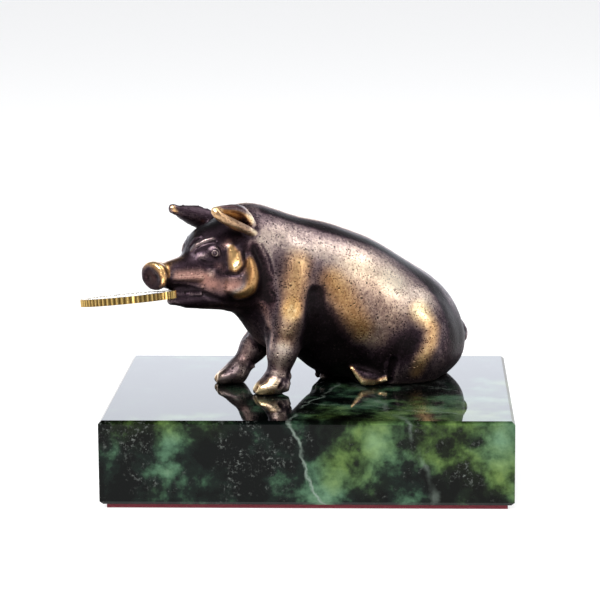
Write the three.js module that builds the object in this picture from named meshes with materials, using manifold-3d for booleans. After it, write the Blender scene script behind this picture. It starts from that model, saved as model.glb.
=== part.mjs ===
// A pig figurine: a cast bronze pig sits on a polished stone slab and holds a coin flat in its mouth.
// Millimetres, +Z up. The origin is the centre of the felt's underside, the pig faces -X and a little -Y.
import * as THREE from "three";
import { edgeTable, triTable } from "three/addons/objects/MarchingCubes.js";
import { mergeVertices } from "three/addons/utils/BufferGeometryUtils.js";
import Module from "manifold-3d";

// Driving dimensions of the slab and its felt
const PLINTH_LENGTH = 100;
const PLINTH_DEPTH = 80;
const PLINTH_HEIGHT = 20.7;
const PLINTH_CHAMFER = 0.8;
const FELT_THICKNESS = 1.1;
const FELT_INSET = 0.8;

// Driving dimensions of the coin and its seat in the mouth
const COIN_DIAMETER = 23.5;
const COIN_THICKNESS = 1.8;
const COIN_RIM_WIDTH = 1.1;
const COIN_RIM_HEIGHT = 0.2;
const COIN_REEDS = 60;
const COIN_REED_DEPTH = 0.25;
const COIN_BITE = 4;
const COIN_CLEARANCE = 0.3;

// Driving dimensions of the pig
const PIG_HEIGHT = 47.5;
const PIG_TURN_DEG = 24;
const PIG_FROM_CENTRE_X = 10;
const PIG_FROM_CENTRE_Y = 10;
const SEAT_GAP = 0.3;

// The pig's form is drawn at this height, in millimetres, and takes its real size from PIG_HEIGHT.
// Its places are forward, left and up from a point on the ground under its middle.
const DRAWN_HEIGHT = 47.5;
const PIG_SCALE = PIG_HEIGHT / DRAWN_HEIGHT;
const SOLE_DEPTH = 1.5;
const SIDES = [-1, 1];

const wasm = await Module();
wasm.setup();

const BRONZE = new THREE.MeshStandardMaterial({ color: 0x5b4a3c, roughness: 0.38, metalness: 1 });
const COIN_BRASS = new THREE.MeshStandardMaterial({ color: 0xc9a24a, roughness: 0.28, metalness: 1 });
const GREEN_STONE = new THREE.MeshStandardMaterial({ color: 0x1f3a26, roughness: 0.08, metalness: 0 });
const RED_FELT = new THREE.MeshStandardMaterial({ color: 0x6e2530, roughness: 0.95, metalness: 0 });

// A turned frame: yaw to the left, then nose up, then left side up.
function frameOf({ place, yaw = 0, pitch = 0, roll = 0 }) {
  const turn = new THREE.Euler(
    THREE.MathUtils.degToRad(roll),
    THREE.MathUtils.degToRad(-pitch),
    THREE.MathUtils.degToRad(yaw),
    "ZYX",
  );
  return new THREE.Matrix4().makeRotationFromEuler(turn).setPosition(...place);
}

// The head in the pig, and the mouth's plane in the head, which the coin lies in
const headFrame = () => frameOf({ place: [35.6, 1.9, 36.5], yaw: 12, pitch: -4, roll: 8 });
const mouthInHead = () => frameOf({ place: [21, 0, -8.5], pitch: 4, roll: 1.3 });

// The form is a field of distances, negative inside. Each volume is a function of a point.
function inMatrix(matrix, volume) {
  const e = matrix.clone().invert().elements;
  return (x, y, z) =>
    volume(
      e[0] * x + e[4] * y + e[8] * z + e[12],
      e[1] * x + e[5] * y + e[9] * z + e[13],
      e[2] * x + e[6] * y + e[10] * z + e[14],
    );
}

function ball([a, b, c], turn = {}) {
  return ([forward, left, up]) =>
    inMatrix(frameOf({ place: [forward, left, up], ...turn }), (x, y, z) => {
      const near = Math.hypot(x / a, y / b, z / c);
      const slope = Math.hypot(x / (a * a), y / (b * b), z / (c * c));
      return slope > 0 ? (near * (near - 1)) / slope : -Math.min(a, b, c);
    });
}

function limb(from, to, fromRadius, toRadius) {
  const along = to.map((v, i) => v - from[i]);
  const length2 = along.reduce((sum, v) => sum + v * v, 0);
  return (x, y, z) => {
    const px = x - from[0];
    const py = y - from[1];
    const pz = z - from[2];
    const dot = px * along[0] + py * along[1] + pz * along[2];
    const t = Math.min(1, Math.max(0, dot / length2));
    const away = Math.hypot(px - along[0] * t, py - along[1] * t, pz - along[2] * t);
    return away - fromRadius - (toRadius - fromRadius) * t;
  };
}

function softMin(a, b, width) {
  const h = Math.max(width - Math.abs(a - b), 0) / width;
  return Math.min(a, b) - (h * h * width) / 4;
}

const join = (width, ...volumes) => (x, y, z) =>
  volumes.reduce((sum, volume) => softMin(sum, volume(x, y, z), width), Infinity);

// Torso: neck, chest, barrel and rump, with the spine falling to the tail
function torso() {
  return join(
    6,
    ball([11, 10, 13.6], { pitch: 10 })([30, 0.5, 33.5]),
    ball([12, 11, 15])([20, 0, 28.6]),
    ball([7, 7.5, 9])([21.4, 0, 18.4]),
    ball([9, 8, 11])([11, 0, 29.3]),
    ball([19, 14.6, 17.2], { pitch: 18 })([4.5, 0, 21.2]),
    ball([11, 9, 7])([1.5, 0, 8]),
    ball([20, 13.6, 14.2], { pitch: 27 })([-11, 0, 15.2]),
    ball([13, 12.5, 8])([-16, 0, 6.5]),
  );
}

// A hind leg folded under the haunch, with its foot pointing forward
function hindLeg(side, ahead) {
  const left = side * 8.4;
  return join(
    2.5,
    ball([12, 6.2, 12.5], { pitch: -12 })([-11.5, side * 9.4, 10.5]),
    limb([-8, left, 2.4], [ahead - 4, left * 0.9, 2.2], 3, 2.3),
    limb([ahead - 4, left * 0.9, 2], [ahead, left * 0.85, 2.7], 2.2, 1.3),
  );
}

// A front leg: shoulder, upper arm, shank and foot
function frontLeg(side, elbow, knee, fetlock, toe) {
  const foot = toe.map((v, i) => v - fetlock[i]);
  const claws = SIDES.map((half) =>
    limb(
      [fetlock[0] + foot[0] * 0.35, fetlock[1] + foot[1] * 0.35 + half * 1.6, 2],
      [toe[0], toe[1] + half * 1.4, 1.1],
      1.9,
      1.2,
    ),
  );
  return join(
    4,
    ball([6, 4.2, 13], { pitch: 4 })([elbow[0] - 1, side * 8.4, elbow[2] + 5]),
    limb(elbow, knee, 3.8, 2.9),
    limb(knee, fetlock, 2.9, 2.4),
    ...claws,
  );
}

function headForm() {
  const skull = join(
    3,
    ball([10, 8, 8.6])([-1, 0, -1.5]),
    ball([6.2, 6, 5])([4, 0, 0.8]),
    limb([7, 0, -4.6], [18.2, 0, -4], 5.2, 3.1),
    limb([1, 0, -10.4], [16.6, 0, -10.6], 5.4, 1.8),
    ball([8, 8, 5.6])([-5, 0, -9.3]),
  );
  const cheeks = SIDES.map((side) => ball([6, 4.2, 6.5])([-1.5, side * 5.6, -7]));
  return join(1, skull, ...cheeks);
}

function pigForm() {
  const nearLeg = frontLeg(1, [21, 9.2, 19], [22.8, 8.6, 10], [23.4, 8.2, 4], [28.6, 8.6, 1]);
  const farLeg = frontLeg(-1, [16.4, -8.6, 17.2], [23.6, -8.3, 8.8], [27.6, -7.8, 4], [33.2, -7.5, 1]);
  const body = join(3, torso(), hindLeg(1, 2.6), hindLeg(-1, 6.8), nearLeg, farLeg);
  const tail = limb([-28.8, 0, 12.5], [-30.9, 0, 8.6], 1.5, 1);
  const whole = join(2.2, body, tail, inMatrix(headFrame(), headForm()));
  return (x, y, z) => Math.max(whole(x, y, z), -SOLE_DEPTH - z);
}

// Grid lines along one axis, spaced by the step of the zone that each line is in
function gridLines(from, zones) {
  const lines = [from];
  for (const { until, step } of zones) {
    const start = lines[lines.length - 1];
    const count = Math.max(1, Math.round((until - start) / step));
    for (let i = 1; i <= count; i += 1) lines.push(start + ((until - start) * i) / count);
  }
  return lines;
}

const CORNERS = [
  [0, 0, 0],
  [1, 0, 0],
  [1, 1, 0],
  [0, 1, 0],
  [0, 0, 1],
  [1, 0, 1],
  [1, 1, 1],
  [0, 1, 1],
];
const EDGES = [
  [0, 1],
  [1, 2],
  [2, 3],
  [3, 0],
  [4, 5],
  [5, 6],
  [6, 7],
  [7, 4],
  [0, 4],
  [1, 5],
  [2, 6],
  [3, 7],
];

// A grid face whose corners alternate in sign can be read in two ways, and the surface would tear there.
// Its faintest corner changes sides, until no such face is left.
function settleFaces(values, counts, indexOf) {
  const steps = [
    [1, 0, 0],
    [0, 1, 0],
    [0, 0, 1],
  ];
  const FAINT = 1e-3;
  const PASSES = 20;
  let changed = true;
  for (let pass = 0; changed && pass < PASSES; pass += 1) {
    changed = false;
    for (let k = 0; k < counts[2]; k += 1)
      for (let j = 0; j < counts[1]; j += 1)
        for (let i = 0; i < counts[0]; i += 1)
          for (const [a, b] of [
            [0, 1],
            [1, 2],
            [2, 0],
          ]) {
            const c = [i, j, k];
            if (c[a] + 1 >= counts[a] || c[b] + 1 >= counts[b]) continue;
            const plus = (step, from) => from.map((v, n) => v + steps[step][n]);
            const square = [c, plus(a, c), plus(b, plus(a, c)), plus(b, c)].map((p) => indexOf(...p));
            const inside = square.map((n) => values[n] < 0);
            if (inside[0] !== inside[2] || inside[1] !== inside[3] || inside[0] === inside[1]) continue;
            const faintest = square.reduce((m, n) => (Math.abs(values[n]) < Math.abs(values[m]) ? n : m));
            values[faintest] = values[faintest] < 0 ? FAINT : -FAINT;
            changed = true;
          }
  }
}

// The zero surface of a field as one indexed geometry, by marching cubes on an uneven grid
function skinOf(field, xs, ys, zs) {
  const [nx, ny, nz] = [xs.length, ys.length, zs.length];
  const indexOf = (i, j, k) => i + nx * (j + ny * k);
  const values = new Float64Array(nx * ny * nz);
  zs.forEach((z, k) =>
    ys.forEach((y, j) =>
      xs.forEach((x, i) => {
        values[indexOf(i, j, k)] = field(x, y, z);
      }),
    ),
  );
  settleFaces(values, [nx, ny, nz], indexOf);
  const points = [];
  const triangles = [];
  const pointOnEdge = new Map();
  const SHORTEST_SHARE = 0.08;

  function pointAt(a, b) {
    const [first, second] = indexOf(...a) < indexOf(...b) ? [a, b] : [b, a];
    const key = indexOf(...first) * nx * ny * nz + indexOf(...second);
    if (!pointOnEdge.has(key)) {
      const low = values[indexOf(...first)];
      const high = values[indexOf(...second)];
      const t = THREE.MathUtils.clamp(low / (low - high), SHORTEST_SHARE, 1 - SHORTEST_SHARE);
      const grid = (c) => [xs[c[0]], ys[c[1]], zs[c[2]]];
      const [p, q] = [grid(first), grid(second)];
      pointOnEdge.set(key, points.length / 3);
      points.push(...p.map((v, n) => v + (q[n] - v) * t));
    }
    return pointOnEdge.get(key);
  }

  for (let k = 0; k < nz - 1; k += 1)
    for (let j = 0; j < ny - 1; j += 1)
      for (let i = 0; i < nx - 1; i += 1) {
        const corners = CORNERS.map(([x, y, z]) => [i + x, j + y, k + z]);
        const kind = corners.reduce((bits, c, n) => bits | (values[indexOf(...c)] < 0 ? 1 << n : 0), 0);
        if (!edgeTable[kind]) continue;
        for (let n = kind * 16; triTable[n] !== -1; n += 3) {
          const made = [0, 1, 2].map((m) => {
            const [a, b] = EDGES[triTable[n + m]];
            return pointAt(corners[a], corners[b]);
          });
          triangles.push(made[0], made[2], made[1]);
        }
      }
  return { points: Float64Array.from(points), triangles };
}

// Evens out the triangles: each point moves towards its neighbours' middle, then back onto the surface.
function relax({ points, triangles }, field, rounds) {
  const neighbours = Array.from({ length: points.length / 3 }, () => new Set());
  for (let n = 0; n < triangles.length; n += 3)
    for (const [a, b] of [
      [0, 1],
      [1, 2],
      [2, 0],
    ]) {
      neighbours[triangles[n + a]].add(triangles[n + b]);
      neighbours[triangles[n + b]].add(triangles[n + a]);
    }
  const EVEN = 0.5;
  const NUDGE = 0.02;
  const LONGEST_MOVE = 0.4;
  for (let round = 0; round < rounds; round += 1) {
    const before = points.slice();
    neighbours.forEach((around, i) => {
      const middle = [0, 0, 0];
      for (const j of around) for (let n = 0; n < 3; n += 1) middle[n] += before[3 * j + n] / around.size;
      for (let n = 0; n < 3; n += 1) points[3 * i + n] += EVEN * (middle[n] - before[3 * i + n]);
      const [x, y, z] = points.slice(3 * i, 3 * i + 3);
      const here = field(x, y, z);
      const slope = [
        (field(x + NUDGE, y, z) - field(x - NUDGE, y, z)) / (2 * NUDGE),
        (field(x, y + NUDGE, z) - field(x, y - NUDGE, z)) / (2 * NUDGE),
        (field(x, y, z + NUDGE) - field(x, y, z - NUDGE)) / (2 * NUDGE),
      ];
      const steepness2 = Math.max(0.05, slope[0] ** 2 + slope[1] ** 2 + slope[2] ** 2);
      const move = THREE.MathUtils.clamp(here, -LONGEST_MOVE, LONGEST_MOVE) / steepness2;
      for (let n = 0; n < 3; n += 1) points[3 * i + n] -= move * slope[n];
    });
  }
}

// A closed geometry, placed by a matrix, as a solid that can be joined and cut, and back
function solidOf(geometry, matrix = new THREE.Matrix4()) {
  const bare = geometry.clone().applyMatrix4(matrix);
  bare.deleteAttribute("normal");
  bare.deleteAttribute("uv");
  const merged = mergeVertices(bare, 1e-4);
  return new wasm.Manifold(
    new wasm.Mesh({
      numProp: 3,
      vertProperties: merged.attributes.position.array,
      triVerts: new Uint32Array(merged.index.array),
    }),
  );
}

function geometryOf(solid) {
  const mesh = solid.getMesh();
  const geometry = new THREE.BufferGeometry();
  geometry.setAttribute("position", new THREE.BufferAttribute(mesh.vertProperties, 3));
  geometry.setIndex(new THREE.BufferAttribute(mesh.triVerts, 1));
  geometry.computeVertexNormals();
  return geometry;
}

// A cupped leaf from its root to its tip, whose edges curl to the side that faces outward
function earSolid({ root, tip, outward, halfWidth }) {
  const THICKNESS = 1.1;
  const CURL = 1.9;
  const TAPER = 0.3;
  const ROOTED = 1.6;
  const start = new THREE.Vector3(...root);
  const along = new THREE.Vector3(...tip).sub(start);
  const half = along.length() / 2 + ROOTED / 2;
  along.normalize();
  const across = new THREE.Vector3(...outward).cross(along).normalize();
  const facing = new THREE.Vector3().crossVectors(along, across);
  const middle = start.addScaledVector(along, half - ROOTED);
  const frame = new THREE.Matrix4().makeBasis(along, across, facing).setPosition(middle);
  const leaf = new THREE.SphereGeometry(1, 16, 10);
  leaf.rotateZ(Math.PI / 2);
  const at = leaf.getAttribute("position");
  for (let i = 0; i < at.count; i += 1) {
    const [x, y, z] = [at.getX(i), at.getY(i), at.getZ(i)];
    at.setXYZ(i, x * half, y * halfWidth * (1 - TAPER * x), z * THICKNESS + CURL * (y * y - 0.4));
  }
  return solidOf(leaf, frame);
}

const scaledBall = (place, radii, turn = {}) =>
  solidOf(
    new THREE.SphereGeometry(1, 10, 6),
    frameOf({ place, ...turn }).multiply(new THREE.Matrix4().makeScale(...radii)),
  );

// The snout's disc: a rounded rim with a groove behind it and a shallow dish in front
function discSolid() {
  const WIDER = 1.12;
  const profile = [
    [0, -2.8],
    [2.9, -2.8],
    [3.05, -1.6],
    [3.6, -1],
    [3.7, 0.2],
    [3.3, 0.8],
    [2.7, 0.85],
    [0, 0.55],
  ].map(([r, x]) => new THREE.Vector2(r, x));
  const disc = new THREE.LatheGeometry(profile, 20);
  disc.rotateZ(-Math.PI / 2);
  const nostrils = SIDES.map((side) => scaledBall([0.9, side * 1.5, -0.2], [1.3, 0.6, 0.85]));
  const place = frameOf({ place: [20.9, 0.2, -3.7], yaw: 14, pitch: -6 });
  return nostrils
    .reduce((left, nostril) => left.subtract(nostril), solidOf(disc, new THREE.Matrix4().makeScale(1, WIDER, 1)))
    .transform(place.elements);
}

// The slit from the coin back to each corner of the mouth
function mouthSlit(side) {
  const slit = new THREE.ExtrudeGeometry(
    new THREE.Shape([new THREE.Vector2(9.8, -9.4), new THREE.Vector2(18.6, -9.7), new THREE.Vector2(18.6, -7.4)]),
    { depth: 6, bevelEnabled: false },
  );
  slit.rotateX(Math.PI / 2);
  return solidOf(slit, new THREE.Matrix4().makeTranslation(0, side > 0 ? 8 : -2, 0));
}

function headDetails(solid) {
  const head = headFrame();
  const place = (piece) => piece.transform(head.elements);
  const joined = [
    earSolid({ root: [-5, 7, 5.5], tip: [7, 10, 9.9], outward: [-0.3, 0.88, 0.24], halfWidth: 3.4 }),
    earSolid({ root: [-2.5, -6, 5.6], tip: [8.1, -9.1, 11.5], outward: [-0.3, -0.88, 0.24], halfWidth: 2.9 }),
    discSolid(),
    ...SIDES.map((side) => scaledBall([6.1, side * 6.2, -0.5], [1.3, 1.1, 1.2])),
  ].map(place);
  const cuts = SIDES.map(mouthSlit).map(place);
  return cuts.reduce((left, cut) => left.subtract(cut), joined.reduce((sum, piece) => sum.add(piece), solid));
}

function mouthFrame() {
  const scaled = new THREE.Matrix4().makeScale(PIG_SCALE, PIG_SCALE, PIG_SCALE);
  const place = scaled.multiply(headFrame()).multiply(mouthInHead());
  const position = new THREE.Vector3().setFromMatrixPosition(place);
  const turn = new THREE.Matrix4().extractRotation(place);
  return turn.setPosition(position);
}

function coinFrame() {
  const ahead = COIN_DIAMETER / 2 - COIN_BITE;
  return mouthFrame().multiply(new THREE.Matrix4().makeTranslation(ahead, 0, 0));
}

function pigGeometry() {
  const form = pigForm();
  const xs = gridLines(-36, [
    { until: 14, step: 2.8 },
    { until: 62, step: 1.5 },
  ]);
  const ys = gridLines(-20, [
    { until: -12, step: 2 },
    { until: 16, step: 1.8 },
    { until: 20, step: 2 },
  ]);
  const zs = gridLines(-SOLE_DEPTH - 1, [
    { until: 5, step: 1.3 },
    { until: 22, step: 2.6 },
    { until: 52, step: 1.5 },
  ]);
  const skin = skinOf(form, xs, ys, zs);
  relax(skin, form, 6);
  const bare = new THREE.BufferGeometry();
  bare.setAttribute("position", new THREE.BufferAttribute(Float32Array.from(skin.points), 3));
  bare.setIndex(skin.triangles);
  const geometry = geometryOf(headDetails(solidOf(bare)));
  geometry.scale(PIG_SCALE, PIG_SCALE, PIG_SCALE);
  const wide = 4 * PIG_HEIGHT;
  const ground = new THREE.BoxGeometry(wide, wide, PIG_HEIGHT);
  const below = new THREE.Matrix4().makeTranslation(0, 0, -PIG_HEIGHT / 2);
  const slotRadius = COIN_DIAMETER / 2 + COIN_CLEARANCE;
  const slot = new THREE.CylinderGeometry(slotRadius, slotRadius, COIN_THICKNESS + 2 * COIN_CLEARANCE, 48);
  slot.rotateX(Math.PI / 2);
  return geometryOf(
    solidOf(geometry).subtract(solidOf(ground, below)).subtract(solidOf(slot, coinFrame())),
  );
}

// A coin with a reeded edge and a raised rim on both faces
function coinGeometry() {
  const reeded = (radius, depth) => {
    const outline = new THREE.Shape();
    for (let i = 0; i < 2 * COIN_REEDS; i += 1) {
      const angle = (Math.PI * i) / COIN_REEDS;
      const r = radius - (i % 2 ? depth : 0);
      const point = [r * Math.cos(angle), r * Math.sin(angle)];
      if (i) outline.lineTo(...point);
      else outline.moveTo(...point);
    }
    outline.closePath();
    return outline;
  };
  const blank = new THREE.ExtrudeGeometry(reeded(COIN_DIAMETER / 2, COIN_REED_DEPTH), {
    depth: COIN_THICKNESS,
    bevelEnabled: false,
  });
  blank.translate(0, 0, -COIN_THICKNESS / 2);
  const fieldRadius = COIN_DIAMETER / 2 - COIN_RIM_WIDTH;
  const recess = new THREE.CylinderGeometry(fieldRadius, fieldRadius, 2 * COIN_RIM_HEIGHT, 48);
  recess.rotateX(Math.PI / 2);
  return geometryOf(
    SIDES.reduce(
      (solid, side) =>
        solid.subtract(solidOf(recess, new THREE.Matrix4().makeTranslation(0, 0, (side * COIN_THICKNESS) / 2))),
      solidOf(blank),
    ),
  );
}

// A slab with all its edges chamfered
function plinthGeometry() {
  const c = PLINTH_CHAMFER;
  const x = PLINTH_LENGTH / 2 - c;
  const y = PLINTH_DEPTH / 2 - c;
  const outline = new THREE.Shape([
    new THREE.Vector2(-x, -y),
    new THREE.Vector2(x, -y),
    new THREE.Vector2(x, y),
    new THREE.Vector2(-x, y),
  ]);
  const slab = new THREE.ExtrudeGeometry(outline, {
    depth: PLINTH_HEIGHT - 2 * c,
    bevelSize: c,
    bevelThickness: c,
    bevelSegments: 1,
  });
  slab.translate(0, 0, FELT_THICKNESS + c);
  return slab;
}

function feltGeometry() {
  const inset = 2 * (PLINTH_CHAMFER + FELT_INSET);
  const felt = new THREE.BoxGeometry(PLINTH_LENGTH - inset, PLINTH_DEPTH - inset, FELT_THICKNESS);
  felt.translate(0, 0, FELT_THICKNESS / 2);
  return felt;
}

function named(name, geometry, material) {
  const mesh = new THREE.Mesh(geometry, material);
  mesh.name = name;
  return mesh;
}

const figurine = new THREE.Group();
figurine.add(named("plinth", plinthGeometry(), GREEN_STONE));
figurine.add(named("felt_pad", feltGeometry(), RED_FELT));

// The pig's group stands on the slab, turned so that its forward axis runs to -X and a little -Y.
const seated = new THREE.Group();
seated.position.set(PIG_FROM_CENTRE_X, PIG_FROM_CENTRE_Y, FELT_THICKNESS + PLINTH_HEIGHT + SEAT_GAP);
seated.rotation.z = Math.PI + THREE.MathUtils.degToRad(PIG_TURN_DEG);
seated.add(named("pig", pigGeometry(), BRONZE));

const coin = named("coin", coinGeometry(), COIN_BRASS);
coin.applyMatrix4(coinFrame());
seated.add(coin);
figurine.add(seated);

export default figurine;
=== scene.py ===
"""A cast bronze pig sits on a polished green stone slab and holds a coin flat in its mouth.

Order: frame, camera, lights, floor, finishes, then the pig, the coin, the slab and its felt.
Places are in metres. The pig's own places are in millimetres: forward, left and up from its ground point.
"""

import math

import bmesh
import bpy
import numpy as np
from mathutils import Matrix, Vector


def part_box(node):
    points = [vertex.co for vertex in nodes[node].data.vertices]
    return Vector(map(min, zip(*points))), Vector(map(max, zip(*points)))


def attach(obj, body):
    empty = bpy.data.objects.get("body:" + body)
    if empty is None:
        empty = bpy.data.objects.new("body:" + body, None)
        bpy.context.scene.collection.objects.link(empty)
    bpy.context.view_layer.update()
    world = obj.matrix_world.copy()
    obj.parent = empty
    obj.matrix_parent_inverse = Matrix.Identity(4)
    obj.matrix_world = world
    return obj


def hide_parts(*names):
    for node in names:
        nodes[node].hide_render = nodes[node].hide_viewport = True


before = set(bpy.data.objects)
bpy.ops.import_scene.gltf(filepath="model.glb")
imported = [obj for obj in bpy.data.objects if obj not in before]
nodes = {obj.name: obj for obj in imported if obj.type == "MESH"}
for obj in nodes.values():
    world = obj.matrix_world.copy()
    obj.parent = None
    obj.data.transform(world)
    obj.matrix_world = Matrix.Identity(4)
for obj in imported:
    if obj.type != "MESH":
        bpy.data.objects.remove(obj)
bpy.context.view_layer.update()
scene = bpy.context.scene

MM = 0.001
SLAB_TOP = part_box("plinth")[1][2]
MIDDLE = (0, 0, 0.04)

# The pig's frame and its head's frame, as in the solids
PIG_GROUND = Vector((10, 10, 22.1)) * MM
PIG_TURN = math.radians(204)
HEAD_PLACE = Vector((35.6, 1.9, 36.5))
HEAD_TURNS = {"Z": 12, "Y": 4, "X": 8}

pig_frame = Matrix.Translation(PIG_GROUND) @ Matrix.Rotation(PIG_TURN, 4, "Z") @ Matrix.Scale(MM, 4)
head_frame = Matrix.Translation(HEAD_PLACE)
for axis, degrees in HEAD_TURNS.items():
    head_frame = head_frame @ Matrix.Rotation(math.radians(degrees), 4, axis)


# Camera, light and floor


def add_camera():
    camera = bpy.data.objects.new("camera", bpy.data.cameras.new("camera"))
    camera.data.lens = 152.87
    camera.data.sensor_width = 36
    camera.data.clip_end = 50
    right = Vector((0.99902, 0.04359, -0.00762))
    up = Vector((-0.000254, 0.17782, 0.98406))
    back = right.cross(up)
    turned = Matrix((right, up, back)).transposed().to_4x4()
    camera.matrix_world = Matrix.Translation((0.02557, -0.63390, 0.15867)) @ turned
    scene.collection.objects.link(camera)
    scene.camera = camera


def add_softbox(name, place, target, width, height, watts):
    lamp = bpy.data.lights.new(name, "AREA")
    lamp.shape = "RECTANGLE"
    lamp.size = width
    lamp.size_y = height
    lamp.energy = watts
    holder = bpy.data.objects.new(name, lamp)
    holder.location = place
    holder.rotation_euler = (Vector(target) - Vector(place)).to_track_quat("-Z", "Y").to_euler()
    scene.collection.objects.link(holder)


def light_surroundings():
    """Pale all round, brightest low at the back, with a dim band higher up and in front."""
    world = bpy.data.worlds.new("studio")
    world.use_nodes = True
    tree = world.node_tree
    background = tree.nodes["Background"]
    split = tree.nodes.new("ShaderNodeSeparateXYZ")
    tree.links.new(tree.nodes.new("ShaderNodeTexCoord").outputs["Generated"], split.inputs[0])

    def grey_ramp(socket, low, high, stops):
        span = tree.nodes.new("ShaderNodeMapRange")
        span.inputs[1].default_value = low
        span.inputs[2].default_value = high
        tree.links.new(socket, span.inputs[0])
        ramp = tree.nodes.new("ShaderNodeValToRGB")
        tree.links.new(span.outputs[0], ramp.inputs[0])
        ramp.color_ramp.elements[0].position = stops[0][0]
        ramp.color_ramp.elements[1].position = stops[-1][0]
        for at, _ in stops[1:-1]:
            ramp.color_ramp.elements.new(at)
        for element, (_, grey) in zip(ramp.color_ramp.elements, stops):
            element.color = (grey * 0.94, grey * 0.96, grey, 1)
        return ramp.outputs[0]

    low_band = grey_ramp(split.outputs["Z"], 0, 1, ((0, 1), (0.3, 0.85), (0.45, 0.1), (0.75, 0.06), (1, 0.14)))
    depth = grey_ramp(split.outputs["Y"], -1, 1, ((0, 0.1), (0.45, 0.13), (0.8, 0.6), (1, 1)))
    both = tree.nodes.new("ShaderNodeMix")
    both.data_type = "RGBA"
    both.blend_type = "MULTIPLY"
    both.inputs[0].default_value = 1
    tree.links.new(low_band, both.inputs[6])
    tree.links.new(depth, both.inputs[7])
    tree.links.new(both.outputs[2], background.inputs["Color"])
    background.inputs["Strength"].default_value = 3.6
    scene.world = world


def add_floor():
    bm = bmesh.new()
    bmesh.ops.create_circle(bm, cap_ends=True, segments=96, radius=6)
    mesh = bpy.data.meshes.new("floor")
    bm.to_mesh(mesh)
    bm.free()
    floor = bpy.data.objects.new("floor", mesh)
    scene.collection.objects.link(floor)
    paper = bpy.data.materials.new("pale_paper")
    paper.use_nodes = True
    shader = paper.node_tree.nodes["Principled BSDF"]
    shader.inputs["Base Color"].default_value = (0.3, 0.3, 0.3, 1)
    shader.inputs["Roughness"].default_value = 0.9
    shader.inputs["Emission Color"].default_value = (1, 1, 1, 1)
    shader.inputs["Emission Strength"].default_value = 0.72
    mesh.materials.append(paper)


add_camera()
light_surroundings()
add_softbox("key_softbox", (-0.35, -0.6, 0.85), MIDDLE, 0.9, 0.55, 24)
add_softbox("top_softbox", (0.5, 0.1, 0.85), MIDDLE, 0.5, 0.5, 5)
add_softbox("right_softbox", (0.9, -0.5, 0.4), MIDDLE, 0.3, 0.6, 3)
add_floor()
scene.view_settings.view_transform = "Standard"


# Finishes


def socket_name(word):
    """The shader's own name for a socket, such as Specular IOR Level for specular_ior_level."""
    return word.replace("_", " ").title().replace("Ior", "IOR")


# The stone's veins: slope of the plane that each lies in, its place along that slope, half width and strength
VEIN_WOBBLE = 0.012
STONE_VEINS = (
    ((1.0, -0.25, 0.4), 0.014, 0.0007, 0.6),
    ((1.0, 0.3, 0.45), 0.021, 0.0012, 0.35),
    ((0.35, 1.0, 0.3), -0.012, 0.0003, 0.7),
    ((0.8, 1.0, -0.2), 0.018, 0.00025, 0.6),
)


class Finish:
    """A material's node tree, with short calls for the nodes that these finishes use."""

    def __init__(self, name, **constants):
        self.material = bpy.data.materials.new(name)
        self.material.use_nodes = True
        self.tree = self.material.node_tree
        self.shader = self.tree.nodes["Principled BSDF"]
        for socket, value in constants.items():
            self.shader.inputs[socket_name(socket)].default_value = value

    def node(self, kind, inputs=(), **settings):
        made = self.tree.nodes.new("ShaderNode" + kind)
        for key, value in settings.items():
            setattr(made, key, value)
        for socket, value in dict(inputs).items():
            self.put(made.inputs[socket], value)
        return made

    def put(self, socket, value):
        if isinstance(value, bpy.types.NodeSocket):
            self.tree.links.new(value, socket)
        else:
            socket.default_value = value

    def to_shader(self, **values):
        for socket, value in values.items():
            self.put(self.shader.inputs[socket_name(socket)], value)

    def where(self):
        return self.node("TexCoord").outputs["Object"]

    def attribute(self, name):
        return self.node("Attribute", attribute_name=name).outputs["Fac"]

    def math(self, operation, a, b=0.0, clamp=False):
        return self.node("Math", {0: a, 1: b}, operation=operation, use_clamp=clamp).outputs[0]

    def noise(self, scale, detail=4.0, roughness=0.5, distortion=0.0, vector=None):
        made = self.node(
            "TexNoise",
            {
                "Vector": vector or self.where(),
                "Scale": scale,
                "Detail": detail,
                "Roughness": roughness,
                "Distortion": distortion,
            },
        )
        return made.outputs["Fac"]

    def stretch(self, value, low, high, to_low=0.0, to_high=1.0):
        made = self.node("MapRange", {0: value, 1: low, 2: high, 3: to_low, 4: to_high})
        return made.outputs[0]

    def ramp(self, value, *stops):
        made = self.node("ValToRGB", {0: value})
        elements = made.color_ramp.elements
        elements[0].position = stops[0][0]
        elements[1].position = stops[-1][0]
        for at, _ in stops[1:-1]:
            elements.new(at)
        for element, (_, colour) in zip(elements, stops):
            element.color = (*colour, 1)
        return made.outputs[0]

    def mixed(self, factor, a, b, blend="MIX"):
        made = self.node("Mix", data_type="RGBA", blend_type=blend)
        self.put(made.inputs[0], factor)
        self.put(made.inputs[6], a if isinstance(a, bpy.types.NodeSocket) else (*a, 1))
        self.put(made.inputs[7], b if isinstance(b, bpy.types.NodeSocket) else (*b, 1))
        return made.outputs[2]

    def bump(self, height, distance, strength=1.0, normal=None):
        inputs = {"Height": height, "Distance": distance, "Strength": strength}
        if normal:
            inputs["Normal"] = normal
        return self.node("Bump", inputs).outputs[0]


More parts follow.
